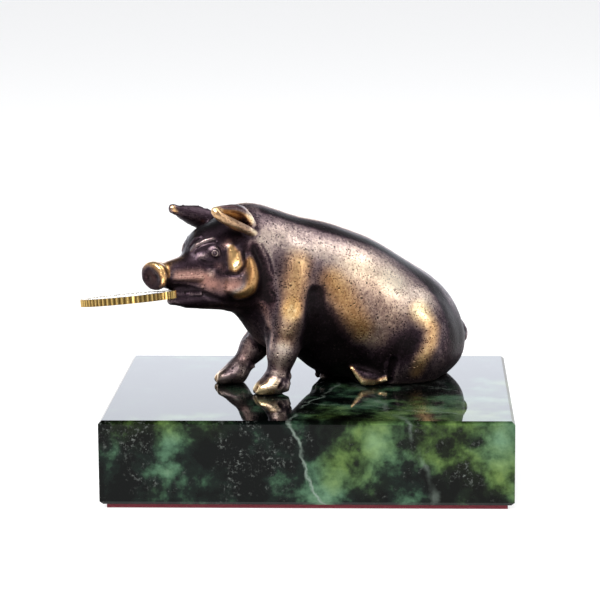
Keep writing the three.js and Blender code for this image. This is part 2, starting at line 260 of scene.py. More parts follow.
def patinated_bronze():
    """Dark patina in the hollows, rubbed through to golden metal on the high places, with a cast grain and pits; the
    rub shares also carry painted highlights and painted shade.
    """
    finish = Finish("patinated_bronze", metallic=1.0, coat_weight=0.06, coat_roughness=0.2)
    grain = finish.attribute("grain")
    patches = finish.noise(110, detail=5, roughness=0.6)
    fine = finish.noise(1400, detail=3, roughness=0.6)
    # The rub shares hold real wear together with painted highlights, painted sheen and painted shade.
    wear_and_painted_light = finish.math("ADD", finish.attribute("rub_and_painted_light"), finish.stretch(patches, 0.3, 0.7, -0.06, 0.06))
    speckle = finish.math("MULTIPLY", finish.stretch(fine, 0.3, 0.7, -0.11, 0.11), grain)
    wear_and_painted_light = finish.math("ADD", wear_and_painted_light, speckle)
    dots = finish.node("TexVoronoi", {"Vector": finish.where(), "Scale": 1900.0}).outputs["Distance"]
    dot_gate = finish.stretch(finish.noise(700, detail=2), 0.4, 0.6)
    dots = finish.math("MULTIPLY", finish.stretch(dots, 0.42, 0.12), dot_gate)
    dots = finish.math("MULTIPLY", finish.math("MULTIPLY", dots, grain), 0.5)
    wear_and_painted_light = finish.math("SUBTRACT", wear_and_painted_light, dots, clamp=True)
    pits = finish.node("TexVoronoi", {"Vector": finish.where(), "Scale": 1000.0}).outputs["Distance"]
    pit_gate = finish.stretch(finish.noise(800, detail=1), 0.53, 0.58)
    pit = finish.math("MULTIPLY", finish.stretch(pits, 0.32, 0.16), pit_gate, clamp=True)
    pit = finish.math("MULTIPLY", pit, grain)
    pewter = finish.ramp(
        wear_and_painted_light,
        (0.0, (0.009, 0.006, 0.007)),
        (0.25, (0.036, 0.022, 0.03)),
        (0.5, (0.155, 0.112, 0.114)),
        (0.75, (0.45, 0.36, 0.31)),
        (1.0, (0.86, 0.74, 0.6)),
    )
    golden = finish.ramp(
        wear_and_painted_light,
        (0.0, (0.012, 0.006, 0.005)),
        (0.3, (0.06, 0.028, 0.014)),
        (0.55, (0.31, 0.155, 0.062)),
        (0.8, (0.68, 0.42, 0.18)),
        (1.0, (0.98, 0.76, 0.42)),
    )
    coppery = finish.ramp(
        wear_and_painted_light,
        (0.0, (0.012, 0.007, 0.008)),
        (0.3, (0.09, 0.045, 0.045)),
        (0.6, (0.39, 0.2, 0.16)),
        (1.0, (0.92, 0.66, 0.52)),
    )
    colour = finish.mixed(finish.attribute("gold"), pewter, golden)
    colour = finish.mixed(finish.attribute("copper"), colour, coppery)
    colour = finish.mixed(finish.math("MULTIPLY", pit, 0.85), colour, (0.012, 0.009, 0.008))
    rough = finish.stretch(wear_and_painted_light, 0.0, 1.0, 0.38, 0.2)
    rough = finish.math("ADD", rough, finish.math("MULTIPLY", grain, 0.17))
    height = finish.math("MULTIPLY", finish.noise(1800, detail=2), grain)
    normal = finish.bump(height, 0.00012, 0.6)
    normal = finish.bump(finish.math("MULTIPLY", pit, -1.0), 0.0002, 0.8, normal)
    finish.to_shader(base_color=colour, roughness=rough, normal=normal)
    return finish.material


def green_stone():
    """Polished dark green stone: black ground, green clouds, pale crumbs in the dark and thin slanting veins, with
    painted shade darkening the upper face.
    """
    finish = Finish("green_stone", roughness=0.03, ior=1.5, specular_ior_level=0.12)
    where = finish.where()
    slow = finish.noise(22, detail=3, roughness=0.5, vector=where)
    clouds = finish.noise(100, detail=6, roughness=0.6, distortion=0.1, vector=where)
    depth = finish.math("ADD", finish.math("MULTIPLY", slow, 0.45), finish.math("MULTIPLY", clouds, 0.55))
    colour = finish.ramp(
        depth,
        (0.46, (0.001, 0.0016, 0.0014)),
        (0.51, (0.004, 0.008, 0.006)),
        (0.54, (0.018, 0.04, 0.023)),
        (0.57, (0.042, 0.09, 0.052)),
        (0.65, (0.11, 0.2, 0.12)),
    )
    mossy = finish.stretch(finish.noise(34, detail=4, vector=where), 0.5, 0.64, 0.0, 0.8)
    colour = finish.mixed(mossy, colour, finish.mixed(1.0, colour, (1.35, 1.05, 0.35), "MULTIPLY"))
    crumb = finish.noise(1000, detail=3, roughness=0.75, vector=where)
    cluster = finish.stretch(finish.noise(110, detail=5, roughness=0.7, vector=where), 0.5, 0.62)
    in_dark = finish.stretch(depth, 0.53, 0.47, 0.15, 1.0)
    speckle = finish.math("MULTIPLY", finish.stretch(crumb, 0.53, 0.66), cluster, clamp=True)
    speckle = finish.math("MULTIPLY", speckle, in_dark)
    colour = finish.mixed(finish.math("MULTIPLY", speckle, 0.5), colour, (0.2, 0.22, 0.2))
    wobble = finish.math("MULTIPLY", finish.noise(70, detail=5, roughness=0.6, vector=where), VEIN_WOBBLE)
    broken = finish.stretch(finish.noise(90, detail=3, vector=where), 0.4, 0.55)
    for slope, at, width, strength in STONE_VEINS:
        across = finish.node("VectorMath", {0: where, 1: slope}, operation="DOT_PRODUCT").outputs["Value"]
        off = finish.math("SUBTRACT", finish.math("ADD", across, wobble), at + VEIN_WOBBLE / 2)
        off = finish.math("ABSOLUTE", off)
        vein = finish.math("MULTIPLY", finish.stretch(off, width, 0.0), broken, clamp=True)
        colour = finish.mixed(finish.math("MULTIPLY", vein, strength), colour, (0.22, 0.27, 0.23))
    # Painted shade: the colour is multiplied down to 0.45 on the upper face, fading out from 0.2 to 0.7 mm below it.
    height = finish.node("SeparateXYZ", {0: where}).outputs["Z"]
    top_painted_shade = finish.stretch(height, SLAB_TOP - 0.7 * MM, SLAB_TOP - 0.2 * MM, 1.0, 0.45)
    finish.to_shader(base_color=finish.mixed(1.0, colour, top_painted_shade, "MULTIPLY"))
    return finish.material


def coin_brass():
    """Brass, bright on the faces and on top of the reeds, with painted shade darkening their grooves and inside the
    rim.
    """
    finish = Finish("coin_metal", metallic=1.0)
    groove = finish.attribute("groove")
    flat = finish.attribute("flat")
    # Painted shade: the reed colour runs from bright on the crests to near black at the bottom of the grooves.
    reed_edge_with_painted_shade = finish.ramp(groove, (0.0, (0.75, 0.54, 0.2)), (0.4, (0.45, 0.29, 0.09)), (1.0, (0.12, 0.07, 0.02)))
    tarnish = finish.noise(500, detail=4, roughness=0.6)
    face = finish.mixed(finish.stretch(tarnish, 0.35, 0.65), (0.5, 0.46, 0.4), (0.74, 0.7, 0.63))
    colour = finish.mixed(flat, reed_edge_with_painted_shade, face)
    finish.to_shader(base_color=colour, roughness=finish.stretch(tarnish, 0.3, 0.7, 0.16, 0.3))
    return finish.material


def red_felt():
    finish = Finish("red_felt", roughness=0.95, sheen_weight=0.4)
    fibres = finish.noise(2500, detail=4, roughness=0.8)
    finish.to_shader(
        base_color=finish.mixed(fibres, (0.09, 0.008, 0.014), (0.3, 0.03, 0.05)),
        normal=finish.bump(fibres, 0.0003, 0.7),
    )
    return finish.material


bronze = patinated_bronze()
stone = green_stone()
brass = coin_brass()
felt = red_felt()


# Pig


def applied(piece):
    """The piece's modifiers, made part of its mesh."""
    seen = piece.evaluated_get(bpy.context.evaluated_depsgraph_get())
    piece.data = bpy.data.meshes.new_from_object(seen)
    piece.modifiers.clear()


def copy_of(node, name):
    piece = bpy.data.objects.new(name, node.data.copy())
    scene.collection.objects.link(piece)
    bm = bmesh.new()
    bm.from_mesh(piece.data)
    bmesh.ops.remove_doubles(bm, verts=bm.verts, dist=1e-6)
    bm.to_mesh(piece.data)
    bm.free()
    return piece


class Clay:
    """A mesh's points in the pig's millimetres, worked like clay: strokes along its normals, and smoothing."""

    def __init__(self, mesh, to_world):
        self.mesh = mesh
        self.to_world = np.array(to_world)
        count = len(mesh.vertices)
        points = np.empty(count * 3)
        mesh.vertices.foreach_get("co", points)
        inverse = np.linalg.inv(self.to_world)
        self.points = points.reshape(-1, 3) @ inverse[:3, :3].T + inverse[:3, 3]
        edges = np.empty(len(mesh.edges) * 2, int)
        mesh.edges.foreach_get("vertices", edges)
        self.edges = edges.reshape(-1, 2)
        self.degree = np.maximum(np.bincount(edges, minlength=count), 1)
        self.refresh()

    def refresh(self):
        world = self.points @ self.to_world[:3, :3].T + self.to_world[:3, 3]
        self.mesh.vertices.foreach_set("co", world.ravel())
        self.mesh.update()
        normals = np.empty(len(self.mesh.vertices) * 3)
        self.mesh.vertex_normals.foreach_get("vector", normals)
        self.normals = normals.reshape(-1, 3) @ self.to_world[:3, :3] / MM

    def around(self, values):
        """Each point's mean over its neighbours."""
        a, b = self.edges.T
        flat = values.reshape(len(values), -1)
        sums = [
            np.bincount(a, flat[b, i], len(flat)) + np.bincount(b, flat[a, i], len(flat))
            for i in range(flat.shape[1])
        ]
        return (np.stack(sums, 1) / self.degree[:, None]).reshape(values.shape)

    def smoothed(self, values, rounds):
        for _ in range(rounds):
            values = 0.5 * values + 0.5 * self.around(values)
        return values

    def smooth(self, rounds, where=1.0):
        """Evens out the form without shrinking it much."""
        share = np.broadcast_to(np.asarray(where, float), len(self.points))[:, None]
        for _ in range(rounds):
            for push in (0.6, -0.62):
                self.points += share * push * (self.around(self.points) - self.points)
        self.refresh()

    def stroke(self, path, height, place=None, direction=None, both=True):
        """Raises the skin by height along a path, or sinks it where height is negative."""
        near = touch(self.places(place, both), path)
        if direction is None:
            self.points += (height * near)[:, None] * self.normals
        else:
            way = np.array((place.to_3x3() if place else Matrix.Identity(3)) @ Vector(direction))
            faces = np.clip(self.normals @ way, 0, 1)
            self.points += (height * near * faces)[:, None] * way

    def places(self, place=None, both=True):
        """The points in the head's frame or the pig's, with the right side folded onto the left."""
        points = self.points
        if place is not None:
            inverse = np.linalg.inv(np.array(place))
            points = points @ inverse[:3, :3].T + inverse[:3, 3]
        if both:
            points = points.copy()
            points[:, 1] = np.abs(points[:, 1])
        return points


def touch(points, path):
    """How fully each point lies under a path of points with radii: 1 on it, 0 from its radius on."""
    path = np.asarray(path, float).reshape(-1, 4)
    share = np.full(len(points), np.inf)
    if len(path) == 1:
        path = np.repeat(path, 2, axis=0)
    for a, b in zip(path[:-1], path[1:]):
        along = b[:3] - a[:3]
        t = np.clip((points - a[:3]) @ along / max(along @ along, 1e-9), 0, 1)
        away = np.linalg.norm(points - a[:3] - t[:, None] * along, axis=1)
        share = np.minimum(share, away / (a[3] + (b[3] - a[3]) * t))
    return np.clip(1 - share**2, 0, 1) ** 2


def ring(centre, radius, thickness, facing, turns=24):
    """A closed round path on the skin about a centre, facing along a direction."""
    facing = Vector(facing).normalized()
    u = facing.orthogonal().normalized()
    v = facing.cross(u)
    return [
        (*(Vector(centre) + radius * (math.cos(a) * u + math.sin(a) * v)), thickness)
        for a in (2 * math.pi * i / turns for i in range(turns + 1))
    ]


# Strokes on the body: path of (forward, left, up, radius), then the height, in millimetres on the left side
BODY_FORMS = (
    (((19.2, 12.2, 32, 4), (20.2, 12.8, 27.5, 4.2), (21.9, 13.2, 22, 4), (22.9, 13, 17, 3.4)), 0.45),
    (((15.2, 13, 25, 3), (15.8, 13.2, 19.5, 3.8), (15.6, 12, 13.5, 4.6)), -0.8),
    (((13, 12.4, 18, 6), (11.5, 10.6, 11, 7)), -0.5),
    (((29.4, 10.2, 36, 3), (28.4, 11, 29, 3.4), (27.3, 10.8, 24.5, 3)), -0.5),
    (((-12.8, 14.6, 18, 4.4), (-15.6, 15, 14.2, 4.2), (-15.1, 15.5, 10.7, 4), (-12.6, 15.4, 6.5, 3.6)), 0.35),
    (((-7, 15, 13, 7), (-5.5, 15.2, 9.5, 7), (-5, 14.8, 5.5, 4.5)), -0.7),
    (((-5.6, 13.8, 6.4, 1.5), (-5.2, 13, 3.6, 1.4), (-5.2, 12, 1, 1.3)), -0.8),
    (((-3.8, 13.4, 5.4, 1.1), (-3.6, 12.6, 2.6, 1.1)), 0.45),
    (((34, 0, 47, 2.5), (20, 0, 45, 2.5), (4, 0, 40, 2.5), (-14, 0, 31, 2.5), (-25, 0, 20, 2.5)), 0.3),
    (((24.4, 10.6, 12, 2.4), (24.8, 10.2, 9, 2)), 0.1),
    (((25.6, 8.6, 16, 1.8), (26, 8.4, 10, 1.6)), -0.35),
    (((25.6, 8.7, 4, 0.9), (28, 8.7, 2.6, 0.9), (30.6, 8.7, 0.9, 0.9)), -0.9),
    (((27.6, 9.4, 3.2, 1.8), (30, 9.2, 2, 1.6)), -0.55),
    (((23.6, 12.2, 3.6, 0.8), (24.8, 12.2, 1.8, 0.7)), -0.5),
    (((30.6, 7.8, 4, 0.9), (32.6, 7.8, 2.6, 0.9), (35, 7.8, 0.9, 0.9)), -0.9),
    (((21.2, 12, 2.4, 1), (24, 12, 4, 0.9), (26.4, 10.8, 4.6, 0.8), (27.4, 8.8, 4.6, 0.7)), -0.3),
)

# Lengths of clay laid on before the skin: claws, dewclaws, ear rims and the tail's curl, with radii
NEAR_FORE_CLAWS = (
    ((24.6, 10.4, 2.6, 1.8), (27, 10.7, 1.6, 1.4), (29.9, 10, 0.6, 0.5)),
    ((24.6, 6.9, 2.6, 1.8), (27, 6.8, 1.6, 1.4), (30, 7.4, 0.6, 0.5)),
    ((22.2, 10.6, 2.4, 1), (22.6, 10.7, 1.2, 1)),
    ((21.6, 9.8, 4.4, 0.8), (21.2, 10, 3.8, 0.7)),
    ((21.6, 6.4, 4.4, 0.8), (21.2, 6.2, 3.8, 0.7)),
)
FAR_FORE_CLAWS = (
    ((29.4, -6.2, 2.6, 1.7), (31.6, -6.2, 1.8, 1.4), (34.2, -6.3, 0.9, 0.8)),
    ((29.4, -9.3, 2.6, 1.7), (31.6, -9.2, 1.8, 1.4), (34, -9.1, 0.9, 0.8)),
    ((25.8, -6.2, 4.4, 0.8), (25.2, -6, 3.8, 0.7)),
    ((25.8, -9.6, 4.4, 0.8), (25.2, -9.8, 3.8, 0.7)),
)
HIND_CLAWS = (
    ((-3, 10, 2, 2.2), (0.4, 10.2, 2.2, 1.8), (2.6, 10, 3.4, 1), (4.3, 9.6, 4.7, 0.45)),
    ((-1.5, 11, 0.9, 0.8), (1.8, 11, 0.9, 0.7), (3.2, 10.4, 2.6, 0.5), (4.4, 9.8, 4.6, 0.35)),
    ((-3, 7, 2, 2.2), (0.6, 7, 1.8, 1.9), (4.2, 6.6, 2.6, 0.6)),
    ((-2.8, 12, 1.3, 0.75),),
    ((-4.1, 12.3, 1.4, 0.65),),
    ((1.5, -6, 2.2, 2.2), (5.4, -2.6, 2, 1.7), (9.4, -0.8, 1.4, 0.8)),
    ((1.5, -4, 2.2, 2.2), (5.4, 0, 2, 1.6), (9.2, 2, 1.4, 0.8)),
)
TAIL = (
    ((-28.4, 0, 13.4, 1.5), (-30.3, 0.4, 11.6, 1.3), (-30.9, 1.7, 9.9, 1.1), (-30.3, 3, 8.8, 1)),
    ((-30.3, 3, 8.8, 1), (-29.4, 3.6, 9.8, 0.9), (-29.2, 3, 11, 0.75), (-29.9, 2.2, 11.4, 0.6)),
)
NEAR_EAR_RIM = (
    (
        (6.8, 10, 10, 1.1),
        (6.2, 10.5, 8.8, 1.25),
        (4.6, 10.8, 7.5, 1.3),
        (2, 10.6, 5.9, 1.3),
        (-1.5, 9.7, 4.1, 1.2),
        (-4.2, 8.6, 2.9, 0.8),
    ),
    (
        (6.4, 9.7, 10.4, 0.8),
        (4.1, 9.4, 10.4, 0.8),
        (1, 9, 9.9, 0.9),
        (-1.7, 8.6, 8.8, 1),
        (-3.6, 8.3, 6.9, 1),
        (-4.9, 8, 4.8, 0.8),
    ),
)
FAR_EAR_RIM = (
    ((7.6, -8.9, 11.2, 1.35), (6, -8.6, 10, 1.2), (3.4, -8, 8.8, 1.4), (0.8, -7.2, 7.6, 1.6)),
)

# Strokes on the head, in the head's own frame
HEAD_FORMS = (
    (((-1, 9.3, -3.5, 2.8), (-1.6, 9.8, -7, 3.6), (-1, 9.3, -10, 4), (1, 8, -11.4, 4), (4, 6, -11, 3.4)), 0.5),
    (((7, 5, -8, 3.4), (3.4, 7.4, -9, 4.2), (0.8, 9, -8.8, 4)), 0.4),
    (
        (
            (5.6, 6, -5.2, 1.3),
            (4.2, 7.3, -6.4, 1.4),
            (2, 8.9, -6, 1.4),
            (0.3, 9.4, -4.2, 1.3),
            (-0.2, 8.8, -1.8, 1.2),
        ),
        -0.2,
    ),
    (((2, 7.6, 0, 2.4), (2, 8.2, -2, 2.8), (2.4, 8.6, -4, 2.6)), 0.5),
    (((0.8, 8.4, -1.8, 1.3), (0.9, 8.9, -4, 1.3), (2.6, 8.4, -5.2, 1.2)), 0.35),
    (((4.6, 7, 0.9, 1.1), (4, 7.2, -1.8, 1.2), (4.6, 6.9, -4.2, 1.4)), -0.35),
    (
        ((-3.6, 9.2, -0.5, 2), (-4.8, 9.8, -5, 2.4), (-5, 9.4, -9, 2.8), (-3.4, 8.2, -13, 2.8), (0, 6.5, -14.6, 2.6)),
        -0.55,
    ),
    (((9.6, 3.7, -9.9, 0.8), (7.4, 4.3, -11.6, 1.1), (4, 5, -13.6, 1.5), (1, 5.8, -14.4, 1.7)), -0.45),
    (((10.5, 4.3, -5.4, 2.4), (14, 4, -4.9, 2.4), (17, 3.6, -4.4, 2)), 0.3),
    (((7.7, 5.3, -5.2, 1.9),), 0.35),
    (((9.6, 4.2, -0.8, 1.3), (8.8, 4.8, -0.8, 1.2)), 0.2),
    (((9, 4.6, -2.9, 1.8), (6.6, 6, -3.2, 1.6)), -0.25),
    (((10.2, 2.4, 1.2, 2), (8.8, 3.8, 2.4, 2), (7.3, 4.9, 3, 1.8), (5.6, 5.9, 3.2, 1.6)), 0.2),
    (((11.4, 2.4, -1.4, 2), (12.6, 2.2, -2, 2)), 0.15),
    (((18.4, 0, -12.2, 2.4), (15, 0, -12.9, 1.8)), -0.7),
)

# The ears' leaves, as in the solids: root, tip, the side that the bowl faces, half width
EARS = (
    ((-5, 7, 5.5), (7, 10, 9.9), (-0.3, 0.88, 0.24), 3.4),
    ((-2.5, -6, 5.6), (8.1, -9.1, 11.5), (-0.3, -0.88, 0.24), 2.9),
)
EAR_OVERHANG = 0.8
EAR_CUP = 1.9
EAR_TAPER = 0.3

# Fine strokes on the head
HEAD_LINES = (
    (((10, 4, -8.3, 0.9), (13.6, 3.5, -7.3, 0.9), (17, 2.9, -6.5, 0.8)), 0.3),
    (((10.4, 3.6, -10, 0.8), (14, 2.8, -9.4, 0.9), (17, 1.8, -8.8, 0.8)), 0.35),
    (((-3.4, 9.4, 0.4, 0.6), (-4.8, 10, -3.4, 0.7), (-5.4, 10, -6.4, 0.6)), -0.35),
    (((-5.4, 9.8, 0, 0.6), (-6.6, 10.3, -4, 0.7), (-7, 10.3, -7.6, 0.6)), -0.3),
    (((-4.6, 9.2, -10, 0.7), (-6.4, 9.2, -12.4, 0.7), (-8, 9, -14, 0.6)), -0.3),
    (
        ((10.3, 2.2, 0.9, 0.6), (9.5, 2.9, 2, 0.8), (8.5, 3.9, 2.4, 0.7), (7.5, 4.7, 2.9, 0.8), (5.9, 5.6, 3.1, 0.6)),
        0.3,
    ),
    (((9.6, 3.2, 0.6, 0.5), (8.6, 4.2, 1.5, 0.7), (7.3, 5.3, 1.9, 0.6), (5.8, 6.2, 1.9, 0.5)), 0.2),
    (((9.3, 3.4, 1.4, 0.5), (8.3, 4.3, 2, 0.55), (6.9, 5.3, 2.4, 0.5), (5.6, 6, 2.5, 0.5)), -0.22),
    (((10.6, 1.4, 1.8, 0.5), (9.8, 2, 2.8, 0.6), (8.6, 3, 3.4, 0.5)), -0.22),
    (((10.2, 1.2, 2.6, 0.6), (9.2, 2, 3.5, 0.7), (7.8, 3.2, 4, 0.6)), 0.16),
    (((9.4, 4.4, -1.6, 0.5), (8.2, 5.4, -2.6, 0.6), (6.4, 6.4, -2.9, 0.5)), -0.22),
)
EYE = (6.8, 6.9, -0.5)
EYE_FACING = (0.5, 0.86, 0.1)
EYE_RINGS = ((1.75, 0.9, 0.5), (1.2, 0.5, -0.35), (0.78, 0.36, 0.28), (0.1, 0.35, 0.2))


def ear_place(ear, x, y, lift=0.0):
    """A place on an ear's leaf: x from root to tip and y across, both -1 to 1, and the way that its bowl faces."""
    root, tip, outward, half_width = ear
    along = Vector(tip) - Vector(root)
    half = along.length / 2 + EAR_OVERHANG
    along.normalize()
    across = Vector(outward).cross(along).normalized()
    facing = along.cross(across)
    middle = Vector(root) + along * (half - 2 * EAR_OVERHANG)
    cup = EAR_CUP * (y * y - 0.4) + lift
    return middle + along * x * half + across * y * half_width * (1 - EAR_TAPER * x) + facing * cup, facing


def work_ears(clay):
    for ear, middle in zip(EARS, (0.25, 0)):
        facing = ear_place(ear, 0, 0)[1]
        bowl = [
            (*ear_place(ear, x, middle, 0.6)[0], r) for x, r in ((-0.7, 1.3), (-0.3, 1.7), (0.2, 1.6), (0.65, 0.9))
        ]
        clay.stroke(bowl, -1.2, head_frame, facing, both=False)
        deep = [(*ear_place(ear, x, middle, 0.1)[0], r) for x, r in ((-0.65, 1.1), (0, 1.3), (0.4, 1))]
        clay.stroke(deep, -0.8, head_frame, facing, both=False)


def work_forms(clay):
    for path, height in BODY_FORMS:
        clay.stroke(path, height)
    for path, height in HEAD_FORMS:
        clay.stroke(path, height, head_frame)
    work_ears(clay)
    clay.refresh()


def work_lines(clay):
    for path, height in HEAD_LINES:
        clay.stroke(path, height, head_frame)
    for radius, thickness, height in EYE_RINGS:
        clay.stroke(ring(EYE, radius, thickness, EYE_FACING), height, head_frame)
    clay.refresh()


def refine(mesh, place, low, high):
    """Splits the faces inside a box of a frame, to give fine strokes enough points."""
    inverse = place.inverted()
    bm = bmesh.new()
    bm.from_mesh(mesh)
    inside = {v for v in bm.verts if all(a <= c <= b for a, c, b in zip(low, inverse @ v.co, high))}
    edges = [e for e in bm.edges if e.verts[0] in inside and e.verts[1] in inside]
    bmesh.ops.subdivide_edges(bm, edges=edges, cuts=1, use_grid_fill=True)
    bm.to_mesh(mesh)
    bm.free()


# Wear, painted highlights and painted shade on the body and head: a path, how much it lightens the metal, as
# rubbed-through patina and painted highlights, or darkens it, as thicker patina and painted shade, and how golden or
# coppery it is
BODY_WEAR_AND_PAINTED_LIGHT = (
    # Shoulder top: rubbed silvery metal, brightened further as a painted highlight.
    (((28, 10, 40, 6), (22, 9.5, 39.4, 8), (16, 9.5, 38, 8)), 0.36, 0.0),
    (((19.4, 11.5, 32, 6), (20.6, 12.6, 28, 6), (21.6, 13.2, 22, 4.6)), 0.28, 0.9),
    (((21.8, 13.2, 21, 4.8), (23.2, 12.8, 14, 4.4)), 0.16, 0.55),
    # Upper side of the back: rubbed silvery metal with a painted highlight.
    (((10, 10, 35, 7), (5.6, 10.6, 33.6, 8), (-4, 11, 30, 9)), 0.38, 0.0),
    # Rear flank before the haunch: a painted silver highlight on rubbed metal.
    (((-8, 12.5, 25, 8), (-13.5, 13.1, 21.4, 8)), 0.46, 0.0),
    (((11.2, 12.8, 28, 5.4), (9, 14, 23.9, 6.4), (6.2, 14.4, 18.9, 6.4), (3.6, 13.9, 15.5, 5.4)), 0.22, 0.9),
    (((4, 13, 29, 9), (0, 14, 25, 10), (-4, 14.6, 18, 10)), 0.24, 0.3),
    (
        (
            (-12.8, 14.6, 18.6, 4.6),
            (-15.6, 15, 14.4, 4.2),
            (-15.1, 15.5, 10.7, 4),
            (-12.6, 15.4, 6.5, 3.8),
            (-11.7, 14.4, 3, 3.2),
        ),
        0.34,
        0.85,
    ),
    (((23.6, 12, 12, 3), (24.6, 11, 5, 3)), 0.32, -0.25),
    # Painted lilac highlights down the chest.
    (((28.1, 8.9, 22.5, 2), (26.9, 9.4, 19.2, 2), (26, 9.8, 12, 1.4)), 0.24, -0.4),
    # Painted greenish-grey sheen low on the belly by the haunch.
    (((3, 13.1, 12.6, 3.4), (-2, 13.9, 11, 4.4)), 0.22, 0.15),
    (((23.6, 12.2, 3.6, 1.1), (24.8, 12.2, 1.8, 1)), -0.6, 0.0),
    (((31, 10, 1.2, 2.2), (27, 11.4, 0.5, 1.6)), 0.35, 1.0),
    (((26, 10.6, 2.6, 3), (29.6, 9, 1.2, 2.4)), 0.42, 0.8),
    (((31, 7.8, 2.6, 2.8), (34.4, 7.6, 1.2, 2.4)), 0.5, 0.9),
    (((25, 6, 11, 2.6), (27.6, 6, 6, 2.6)), 0.18, -0.3),
    (((4.3, 9.6, 4.7, 0.9), (3.2, 10.6, 2.6, 1), (1.9, 11, 1.1, 1.7), (-1.5, 11.4, 0.6, 1.5)), 0.9, 1.3),
    (((-2.8, 12, 1.3, 1.4), (-4.1, 12.3, 1.4, 1.3)), 0.7, 1.2),
    # Painted dark reflection: a dark band either side of the spine, running down to the rump.
    (
        (
            (25.3, 4, 45.5, 2),
            (16.1, 3.6, 42.4, 2.2),
            (6.5, 4.8, 39.2, 2.4),
            (-4.3, 4.6, 35.2, 2.6),
            (-13.9, 5, 29, 3.2),
            (-18.7, 7.6, 24.4, 3.6),
            (-21.8, 10.8, 18, 4),
            (-23.6, 11.5, 13, 4.6),
        ),
        -0.6,
        -0.2,
    ),
    (((32, 0, 47, 2.4), (20, 0, 44.6, 2.4), (4, 0, 40, 2.6), (-14, 0, 31, 2.8), (-22, 0, 24, 3)), 0.5, -0.3),
    (((-27, 8, 12, 9), (-22, 12, 8, 6)), -0.35, -0.3),
    # Darker patina with painted shade under the belly and in its fold against the haunch.
    (((-9, 15, 11, 5), (-5.5, 15.2, 8.5, 7), (-1, 14, 4, 8), (5, 11, 4, 9)), -0.38, 0.0),
    # Darker patina with painted shade in the hollow behind the upper arm.
    (((14.8, 13, 25, 4), (14.6, 12.8, 20, 5.4), (12.8, 11.5, 15, 8), (10, 9, 8, 10)), -0.52, 0.0),
    (((31, 10.6, 37, 3.4), (28.8, 11, 29, 4.6), (27.5, 10, 23, 4.5)), -0.14, -0.5),
)
HEAD_WEAR_AND_PAINTED_LIGHT = (
    (((2.4, 7.6, 0.2, 1.6), (2.1, 8.4, -1.8, 2.8), (2.5, 8.9, -4.2, 3.6)), 0.6, 1.3),
    (((4.6, 7.4, -5.6, 1.4), (2.6, 8.8, -6.4, 1.4), (0.6, 9.4, -5, 1.4), (0, 9, -2.4, 1.2)), -0.35, 0.0),
    (((-1.5, 9.8, -4, 2.6), (-1.9, 10, -8, 3.6), (-0.6, 9.3, -11, 4), (1.6, 7.8, -12, 3.4)), 0.42, 1.7),
    (((8.5, 4.6, -7.5, 3.4), (5, 6.6, -9.4, 4), (2.6, 8, -9, 3.6)), 0.36, -1.0),
    # Painted pink highlight on the snout's side bulge, over coppery metal.
    (((10.5, 4.3, -5.4, 3.2), (16, 3.6, -4.4, 2.4)), 0.38, -0.9),
    (((19.4, 1.2, -2.2, 3.8),), 0.42, 1.6),
    (((18.5, 2.4, -1.9, 1.2), (18.8, 3.2, -4, 1.1)), 0.5, 1.5),
    (((14, 0, -0.4, 3.4), (18, 0, -1, 3)), 0.3, 1.0),
    # Painted highlight spot by the mouth corner.
    (((7.7, 5.3, -5.2, 1.9),), 0.28, -0.2),
    # Painted highlight spot below and in front of the eye.
    (((9.6, 4.2, -0.8, 1.4), (8.8, 4.8, -0.8, 1.4)), 0.25, 0.0),
    # Rubbed brow ridge, brightened further as a painted highlight.
    (
        ((10.3, 2.2, 0.9, 1), (9.5, 2.9, 2, 1.4), (8.5, 3.9, 2.4, 1.3), (7.5, 4.7, 2.9, 1.2), (5.9, 5.6, 3.1, 0.9)),
        0.4,
        0.0,
    ),
    (((3.9, 7.1, 0.9, 1.6), (2.4, 7.4, 1.8, 1.4)), 0.3, -0.6),
    (((4.6, 6.4, -4.4, 2.2), (6, 5.9, -3.6, 1.6)), 0.12, -0.6),
    (((6, 0, 5, 6), (-3, 0, 8, 6)), -0.25, 0.0),
    # Red-brown patina with painted shade at the root of each ear's bowl.
    (((-4, 7.6, 4.6, 2.4),), -0.35, -0.6),
)


# Places on the head that wear_and_painted_light_of treats one by one
DISC = (21.2, 0.35, -3.75)
DISC_FACING = (0.97, 0.24, -0.1)
DISC_FACE = ((21.9, 0.4, -3.8, 3.3),)
FAR_EAR_EDGE = ((8.4, -7.6, 11.8, 1.3), (7.8, -7.4, 10.4, 1))
NEAR_EAR_EDGE_RADII = (2.9, 2.9, 2.8, 2.6, 2, 1.2)


